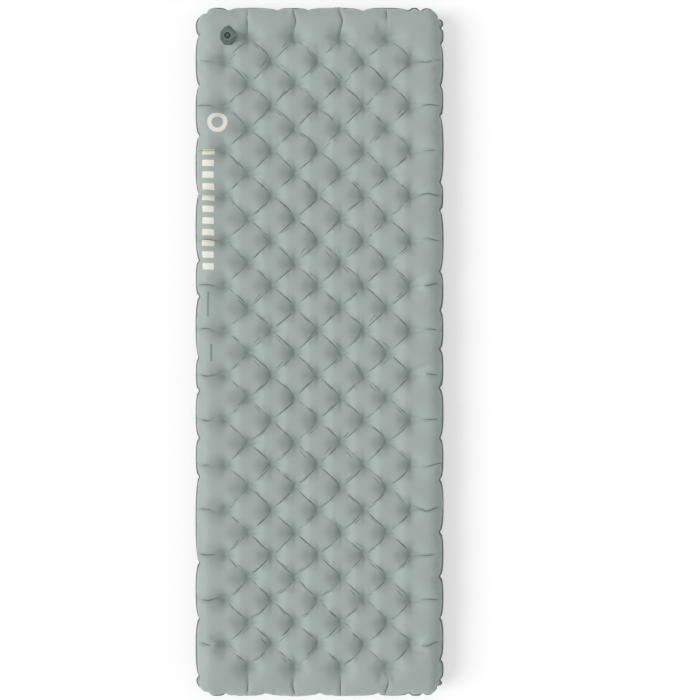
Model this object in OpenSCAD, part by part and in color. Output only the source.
// Insulated inflatable sleeping pad: two laminated fabric skins welded round a
// flange, tied together at a staggered field of dimples by short fabric loops,
// with a reflective film and a batting inside and a two-flap valve at the head.
// Frame: +Y towards the head end, +Z up, origin on the ground under the centre.

/* [Mattress] */
// Length over the weld flange, head to foot
pad_length = 1830; // [1500:10:2000]
// Width over the weld flange
pad_width = 655; // [500:5:800]
// Inflated thickness, crown to crown
pad_thickness = 100; // [85:1:120]
// Radius of the four corners, seen from above
corner_radius = 48; // [44:1:60]
// Width of the flat weld flange all round
flange_width = 5; // [4:0.5:8]
// Horizontal radius of the bulging side wall
side_radius = 42; // [36:1:46]
// Wall of each laminated skin
skin_wall = 0.8; // [0.6:0.1:1.2]

/* [Quilting] */
// Distance between neighbouring dimple columns
pitch_x = 60.7; // [55:0.1:70]
// Distance between neighbouring dimple rows
pitch_y = 58.9; // [54:0.1:70]
// Depth of a dimple below the crowns
dimple_depth = 28; // [20:1:32]
// Least distance from the outline to a dimple
edge_margin = 70; // [66:1:80]
// Sideways offset of the dimple field, towards the valve side
quilt_offset = -6; // [-10:1:6]

/* [Internals] */
// Diameter of the weld dots that close a loop on each skin
dot_diameter = 14; // [10:1:18]
// Thickness of a weld dot
dot_wall = 0.6; // [0.4:0.1:1]
// Width of a loop's band
loop_width = 12; // [8:1:14]
// Thickness of a loop's band
loop_wall = 0.5; // [0.4:0.1:0.8]
// Gap between the two runs of a loop
loop_gap = 3; // [2:0.5:4]
// Thickness of the reflective film
film_wall = 0.4; // [0.3:0.1:0.6]
// Thickness of the insulating batting
batting_wall = 8; // [5:1:10]
// Hole that lets a loop through the film and the batting
pass_diameter = 24; // [20:1:30]
// Distance from the outline to the batting's edge
batting_margin = 14; // [12:1:20]

/* [Valve] */
// Valve axis from the left side of the outline
valve_side = 88.5; // [87.5:0.5:90]
// Valve axis from the head end of the outline
valve_head = 89; // [88:0.5:92]
// How far the fabric under the valve lies below the crowns
valve_sink = 2; // [1:0.5:3]
// Width of the welded base plate
base_width = 38.5; // [37:0.5:39]
// Length of the welded base plate
base_length = 47; // [45:0.5:52]
// Thickness of the base plate
base_wall = 1.2; // [1:0.1:1.6]
// Bore of the neck, the port that empties the pad
neck_bore = 27; // [26.5:0.1:28]
// Wall of the neck
neck_wall = 2.5; // [2:0.1:3]
// Depth of the neck below the fabric
neck_depth = 9; // [8.5:0.1:12]
// Width of the emptying flap
flap_width = 39; // [38:0.5:40]
// Length of the emptying flap
flap_length = 38; // [36:0.1:38.5]
// Thickness of the emptying flap's plate
flap_wall = 2; // [1.8:0.1:2.4]
// Radial gap between the flap's plug and the neck
plug_gap = 0.35; // [0.3:0.05:0.5]
// Narrowing of the plug's radius over its length
plug_taper = 1.7; // [1.6:0.1:2]
// Depth of the plug below the fabric
plug_depth = 7.4; // [7.4:0.1:7.8]
// Bore of the filling port, which takes a pump nozzle
port_bore = 16; // [15.8:0.1:16.4]
// Depth of the filling port's nozzle seat
port_seat = 4.7; // [4:0.1:5]
// Diameter of the seat for the filling cap's plug
cap_seat_bore = 18.8; // [18.4:0.1:19.2]
// Bore under the nozzle seat, round the release button
throat_bore = 13.6; // [13:0.1:14.4]
// Width of the filling cap
cap_width = 30; // [28:0.5:31]
// Length of the filling cap
cap_length = 28.5; // [27:0.5:30]
// Thickness of the filling cap
cap_wall = 2.2; // [2:0.1:2.6]
// Depth of the filling cap's plug below its plate
cap_plug = 2; // [1.6:0.1:2]
// Outer diameter of the groove in the cap's face
groove_outer = 16.8; // [16:0.1:17]
// Inner diameter of the groove in the cap's face
groove_inner = 10; // [9:0.1:11]
// Depth of the groove in the cap's face
groove_depth = 3; // [1.5:0.1:3]
// Length of the emptying flap's pull tab beyond its plate
flap_tab = 7.5; // [6:0.5:9]
// Length of the filling cap's pull tab beyond its plate
cap_tab = 11; // [9:0.5:12]
// Width of a pull tab
tab_width = 8.5; // [7:0.5:10]
// Hole in a pull tab
tab_hole = 3.2; // [2.4:0.1:4]
// Width of the two hinge straps
strap_width = 15; // [12:0.5:16]
// Thickness of the two hinge straps
strap_wall = 0.6; // [0.5:0.1:0.7]
// Diameter of the silicone membrane
membrane_diameter = 19; // [18:0.1:20]
// Thickness of the silicone membrane
membrane_wall = 0.7; // [0.5:0.1:0.9]
// Diameter of the membrane's stem
stem_diameter = 2; // [1.8:0.1:2.4]
// Diameter of the release button on the stem
button_diameter = 5; // [4.4:0.1:6]
// Height of the release button
button_height = 1.2; // [1:0.1:1.2]
// Travel of the release button
button_travel = 1.1; // [0.8:0.1:1.1]

/* [Hidden] */

// Clearances
seat_gap = 0.3;      // between plates and soft parts that only lie on each other
running_gap = 0.3;   // radial gap of the stem in its hub
flange_inset = 1;    // the film stops this far inside the flange's outer edge

// Mattress: levels and half sizes
half_width = pad_width / 2;
half_length = pad_length / 2;
middle = pad_thickness / 2;
valve_x = valve_side - half_width;
valve_y = half_length - valve_head;
seam_top = film_wall / 2;                 // a skin's flange starts this far from the middle
flange_top = seam_top + skin_wall;
dimple_level = middle - dimple_depth;     // a dimple's outside, from the middle
valve_level = middle - valve_sink;        // the fabric under the valve, from the middle

// Quilting: half the number of column and row steps that fit
cols = floor((half_width - edge_margin - abs(quilt_offset)) / pitch_x);
rows = floor((half_length - edge_margin) / pitch_y);
sub_steps = 2;       // facets from one dimple line to the next
ridge_share = 0.42;  // how far the fabric rises between two neighbouring dimples
fade_steps = 0.25;   // the quilting ends this share of a pitch past the last dimple

// Grid lines across the edge, from the outline inwards
bulge_angles = [25, 55, 90];
rest_share = 0.45;   // the flat stretch that rests on the ground, as a share of the margin left
valve_flat_x = 46;   // half size of the flattened fabric under the valve
valve_flat_y = 43;

function edge_lines(margin) = let(crest = flange_width + side_radius) concat(
    [0, flange_width],
    [for (a = bulge_angles) flange_width + side_radius * (1 - cos(a))],
    [crest + (margin - crest) * rest_share]);

function grid_lines(half, count, pitch, offset) = let(
        low = edge_lines(half + offset - count * pitch),
        high = edge_lines(half - offset - count * pitch))
    concat(
        [for (d = low) -half + d],
        [for (k = [-count * sub_steps : count * sub_steps]) offset + k * pitch / sub_steps],
        [for (k = [len(high) - 1 : -1 : 0]) half - high[k]]);

// Corners: a square corner's rings become arcs round the corner's centre
function square_to_arc(a, b) = a >= b
    ? a * [cos(45 * b / a), sin(45 * b / a)]
    : b * [sin(45 * a / b), cos(45 * a / b)];
function rounded(x, y) = let(
        cx = half_width - corner_radius,
        cy = half_length - corner_radius,
        a = abs(x) - cx,
        b = abs(y) - cy)
    a > 0 && b > 0
        ? let(p = square_to_arc(a, b)) [sign(x) * (cx + p[0]), sign(y) * (cy + p[1])]
        : [x, y];

// Height of the skin above the middle
function edge_distance(x, y) = min(half_width - abs(x), half_length - abs(y));
function bulge(d) = let(s = max(0, min(1, (d - flange_width) / side_radius)))
    sqrt(1 - pow(1 - s, 2));
function fade(k, count) = max(0, min(1, 1 - (abs(k) - count) / fade_steps));
// Each cell between four dimples is a pillow; its edges are valleys between dimples
function pillow(u, v) = let(
        s = ridge_share * abs(sin(180 * u)),
        t = ridge_share * abs(sin(180 * v)))
    (1 - (1 - s) * (1 - t)) / (1 - pow(1 - ridge_share, 2));
function quilt(x, y) = let(
        i = (x - quilt_offset) / pitch_x,
        j = y / pitch_y)
    dimple_depth * (1 - pillow((i + j + 1) / 2, (i - j + 1) / 2)) * fade(i, cols) * fade(j, rows);
function near_valve(x, y) = abs(x - valve_x) < valve_flat_x && abs(y - valve_y) < valve_flat_y;
function skin_height(x, y, valve) = valve && near_valve(x, y)
    ? valve_level
    : flange_top + (middle - flange_top) * bulge(edge_distance(x, y)) - quilt(x, y);
function skin_point(x, y, valve) = let(p = rounded(x, y)) [p[0], p[1], skin_height(x, y, valve)];

// The inside face lies one wall along the surface normal
probe = 0.5;         // step for measuring the slope
function skin_normal(x, y, valve) = let(
        n = cross(skin_point(x + probe, y, valve) - skin_point(x - probe, y, valve),
                  skin_point(x, y + probe, valve) - skin_point(x, y - probe, valve)))
    n / norm(n);
function skin_inside(x, y, valve) = edge_distance(x, y) <= flange_width + 0.01
    ? let(p = rounded(x, y)) [p[0], p[1], seam_top]
    : skin_point(x, y, valve) - skin_wall * skin_normal(x, y, valve);

// Dimples stand at every second crossing of the column and row lines
dimples = [for (i = [-cols : cols], j = [-rows : rows]) if ((i + j) % 2 != 0)
    [quilt_offset + i * pitch_x, j * pitch_y]];

// A skin as one closed shell, its flange at the bottom
module skin(valve) {
    xs = grid_lines(half_width, cols, pitch_x, quilt_offset);
    ys = grid_lines(half_length, rows, pitch_y, 0);
    nx = len(xs);
    ny = len(ys);
    layer = nx * ny;
    points = concat(
        [for (y = ys, x = xs) skin_point(x, y, valve)],
        [for (y = ys, x = xs) skin_inside(x, y, valve)]);
    edge = concat(
        [for (i = [0 : nx - 2]) i],
        [for (j = [0 : ny - 2]) j * nx + nx - 1],
        [for (i = [nx - 1 : -1 : 1]) (ny - 1) * nx + i],
        [for (j = [ny - 1 : -1 : 1]) j * nx]);
    function cell(i, j) = let(a = j * nx + i, b = a + 1, c = a + nx + 1, d = a + nx)
        (i + j) % 2 == 0 ? [[a, c, b], [a, d, c]] : [[a, d, b], [b, d, c]];
    outside = [for (j = [0 : ny - 2], i = [0 : nx - 2]) each cell(i, j)];
    inside = [for (f = outside) [f[0] + layer, f[2] + layer, f[1] + layer]];
    rim = [for (k = [0 : len(edge) - 1]) let(a = edge[k], b = edge[(k + 1) % len(edge)])
        each [[a, b, b + layer], [a, b + layer, a + layer]]];
    polyhedron(points = points, faces = concat(outside, inside, rim), convexity = 10);
}

module top_skin() {
    color("#9fb0aa") difference() {
        translate([0, 0, middle]) skin(true);
        translate([valve_x, valve_y, middle]) cylinder(h = middle, r = neck_outer + seat_gap, $fn = 64);
    }
}

module bottom_skin() {
    color("#8f9f9a") translate([0, 0, middle]) mirror([0, 0, 1]) skin(false);
}

// Weld dots and loops
dot_level = dimple_level - skin_wall - seat_gap;   // a dot's outer face, from the middle
loop_half = dot_level - dot_wall;                  // a loop spans this far above and below

module top_weld_dots() {
    color("#c9d2cf") for (p = dimples)
        translate([p[0], p[1], middle + loop_half]) cylinder(h = dot_wall, d = dot_diameter, $fn = 32);
}

module bottom_weld_dots() {
    color("#c9d2cf") for (p = dimples)
        translate([p[0], p[1], middle - dot_level]) cylinder(h = dot_wall, d = dot_diameter, $fn = 32);
}

module loop_band() {
    outer = loop_gap / 2 + loop_wall;
    translate([loop_width / 2, 0, 0]) rotate([0, -90, 0]) linear_extrude(loop_width) difference() {
        square([2 * loop_half, 2 * outer], center = true);
        square([2 * (loop_half - loop_wall), loop_gap], center = true);
    }
}

module tension_loops() {
    color("#d8dedc") for (p = dimples) translate([p[0], p[1], middle]) loop_band();
}

// Sheets between the skins, pierced where the loops pass
module sheet_outline(inset) {
    r = corner_radius - inset;
    difference() {
        union() {
            square([2 * (half_width - inset), 2 * (half_length - corner_radius)], center = true);
            square([2 * (half_width - corner_radius), 2 * (half_length - inset)], center = true);
            for (sx = [-1, 1], sy = [-1, 1])
                translate([sx * (half_width - corner_radius), sy * (half_length - corner_radius)])
                    circle(r = r, $fn = 96);
        }
        for (p = dimples) translate(p) circle(d = pass_diameter, $fn = 32);
    }
}

module reflective_film() {
    color("#c4c7c6") translate([0, 0, middle - film_wall / 2]) linear_extrude(film_wall)
        sheet_outline(flange_inset);
}

module insulation_batting() {
    color("#e8e6df") translate([0, 0, middle + film_wall / 2]) linear_extrude(batting_wall)
        sheet_outline(batting_margin);
}

// Valve: levels above the fabric that carries it
neck_outer = neck_bore / 2 + neck_wall;
flap_low = base_wall + seat_gap;
flap_high = flap_low + flap_wall;
cap_low = flap_high + seat_gap;
cap_high = cap_low + cap_wall;
hinge_reach = 1.2;    // hinge axis from the edge of its plate
hinge_drop = 0.2;     // hinge axis below the top of its plate
flap_hinge_y = -(flap_length / 2 + hinge_reach);
flap_hinge_z = flap_high - hinge_drop;
plate_shift = 1.5;    // the plates reach further out on the pull-tab side
cap_hinge_x = plate_shift - cap_width / 2 - hinge_reach;
cap_hinge_z = cap_high - hinge_drop;
seat_low = flap_high - cap_plug - seat_gap;       // floor of the cap's seat
port_low = seat_low - port_seat;                  // floor of the nozzle seat
membrane_low = -plug_depth - seat_gap - membrane_wall;
button_low = port_low - seat_gap - button_height;
spider_wall = 1;
spoke_width = 1.4;
hub_wall = 1;

module at_valve() {
    translate([valve_x, valve_y, middle + valve_level]) children();
}

// A plate with cut corners, the outline shared by the valve's three plates
module cut_plate(w, l, shift) {
    flat_x = w * 0.21;
    flat_y = l * 0.22;
    translate([shift, 0]) polygon([
        [-w / 2, -flat_y], [-flat_x, -l / 2], [flat_x, -l / 2], [w / 2, -flat_y],
        [w / 2, flat_y], [flat_x, l / 2], [-flat_x, l / 2], [-w / 2, flat_y]]);
}

// A pull tab with a round end, pointing along +X from x = 0
module tab(reach) {
    end = reach - tab_width / 2;
    difference() {
        union() {
            translate([-tab_width, -tab_width / 2]) square([tab_width + end, tab_width]);
            translate([end, 0]) circle(d = tab_width, $fn = 48);
        }
        translate([end, 0]) circle(d = tab_hole, $fn = 48);
    }
}

module valve_base() {
    color("#6f807b") at_valve() difference() {
        union() {
            linear_extrude(base_wall) cut_plate(base_width, base_length, plate_shift / 2);
            translate([0, 0, -neck_depth]) cylinder(h = neck_depth, r = neck_outer, $fn = 96);
        }
        translate([0, 0, -neck_depth - 1])
            cylinder(h = neck_depth + base_wall + 2, d = neck_bore, $fn = 96);
    }
}

// The flap's plug narrows downwards so that it swings out of the neck
module flap_plug() {
    r = neck_bore / 2 - plug_gap;
    rotate_extrude($fn = 96) polygon([
        [0, -plug_depth], [r - plug_taper, -plug_depth], [r, 0], [r, flap_low], [0, flap_low]]);
}

module deflate_flap() {
    color("#63756f") at_valve() difference() {
        union() {
            translate([0, 0, flap_low]) linear_extrude(flap_wall) {
                cut_plate(flap_width, flap_length, plate_shift);
                translate([plate_shift, flap_length / 2]) rotate(90) tab(flap_tab);
            }
            flap_plug();
        }
        translate([0, 0, seat_low]) cylinder(h = flap_high, d = cap_seat_bore, $fn = 96);
        translate([0, 0, port_low]) cylinder(h = flap_high - port_low, d = port_bore, $fn = 96);
        translate([0, 0, -plug_depth - 1]) cylinder(h = port_low + plug_depth + 2, d = throat_bore, $fn = 96);
    }
}

// A hinge strap's section: a foot on the lower plate, a riser, and a run over the
// upper plate, drawn with the hinge axis at the origin and the upper plate at +X
module strap_section(drop, foot) {
    outer = hinge_reach - seat_gap;
    inner = outer - strap_wall;
    lift = hinge_drop + seat_gap;
    translate([-outer - foot, -drop]) square([foot + strap_wall, strap_wall]);
    translate([-outer, -drop]) square([strap_wall, drop]);
    difference() {
        circle(r = outer, $fn = 64);
        circle(r = inner, $fn = 64);
        translate([0, -2 * outer]) square([2 * outer, 4 * outer]);
        translate([-2 * outer, -2 * outer]) square([4 * outer, 2 * outer]);
    }
    translate([0, inner]) square([strap_run, strap_wall]);
}
strap_run = 4;        // how far a strap reaches over its upper plate

module strap(drop, foot) {
    rotate([90, 0, 90]) translate([0, 0, -strap_width / 2]) linear_extrude(strap_width)
        strap_section(drop, foot);
}

module deflate_strap() {
    color("#63756f") at_valve() translate([plate_shift, flap_hinge_y, flap_hinge_z])
        strap(flap_hinge_z - base_wall, base_length / 2 + flap_hinge_y - hinge_reach + seat_gap);
}

module inflate_strap() {
    color("#5b6c67") at_valve() translate([cap_hinge_x, 0, cap_hinge_z]) rotate(-90)
        strap(cap_hinge_z - flap_high, flap_width / 2 - plate_shift + cap_hinge_x - hinge_reach + seat_gap);
}

// A spoked seat that guides the membrane's stem
module membrane_seat() {
    hub_bore = stem_diameter + 2 * running_gap;
    color("#56655f") at_valve() translate([0, 0, -plug_depth]) linear_extrude(spider_wall) {
        difference() {
            circle(d = throat_bore, $fn = 96);
            circle(d = throat_bore - 2, $fn = 96);
        }
        difference() {
            union() {
                circle(d = hub_bore + 2 * hub_wall, $fn = 64);
                for (a = [0, 90]) rotate(a) square([throat_bore - 1, spoke_width], center = true);
            }
            circle(d = hub_bore, $fn = 64);
        }
    }
}

module check_membrane() {
    color("#b8bdb9") at_valve() translate([0, 0, membrane_low]) {
        cylinder(h = membrane_wall, d = membrane_diameter, $fn = 96);
        translate([0, 0, membrane_wall])
            cylinder(h = button_low - membrane_low - membrane_wall, d = stem_diameter, $fn = 48);
    }
}

module release_button() {
    color("#c6cac7") at_valve() translate([0, 0, button_low])
        cylinder(h = button_height, d = button_diameter, $fn = 64);
}

// The cap's plug narrows downwards so that it swings out of its seat
module inflate_cap() {
    color("#5b6c67") at_valve() difference() {
        union() {
            translate([0, 0, cap_low]) linear_extrude(cap_wall) {
                cut_plate(cap_width, cap_length, plate_shift);
                translate([plate_shift + cap_width / 2, 0]) tab(cap_tab);
            }
            translate([0, 0, cap_low - cap_plug]) cylinder(
                h = cap_plug, r1 = cap_seat_bore / 2 - 2 * seat_gap, r2 = cap_seat_bore / 2 - seat_gap, $fn = 96);
        }
        translate([0, 0, cap_high - groove_depth]) difference() {
            cylinder(h = groove_depth + 1, d = groove_outer, $fn = 96);
            cylinder(h = groove_depth + 1, d = groove_inner, $fn = 96);
        }
    }
}

top_skin();
bottom_skin();
tension_loops();
top_weld_dots();
bottom_weld_dots();
reflective_film();
insulation_batting();
valve_base();
deflate_flap();
deflate_strap();
membrane_seat();
check_membrane();
release_button();
inflate_cap();
inflate_strap();
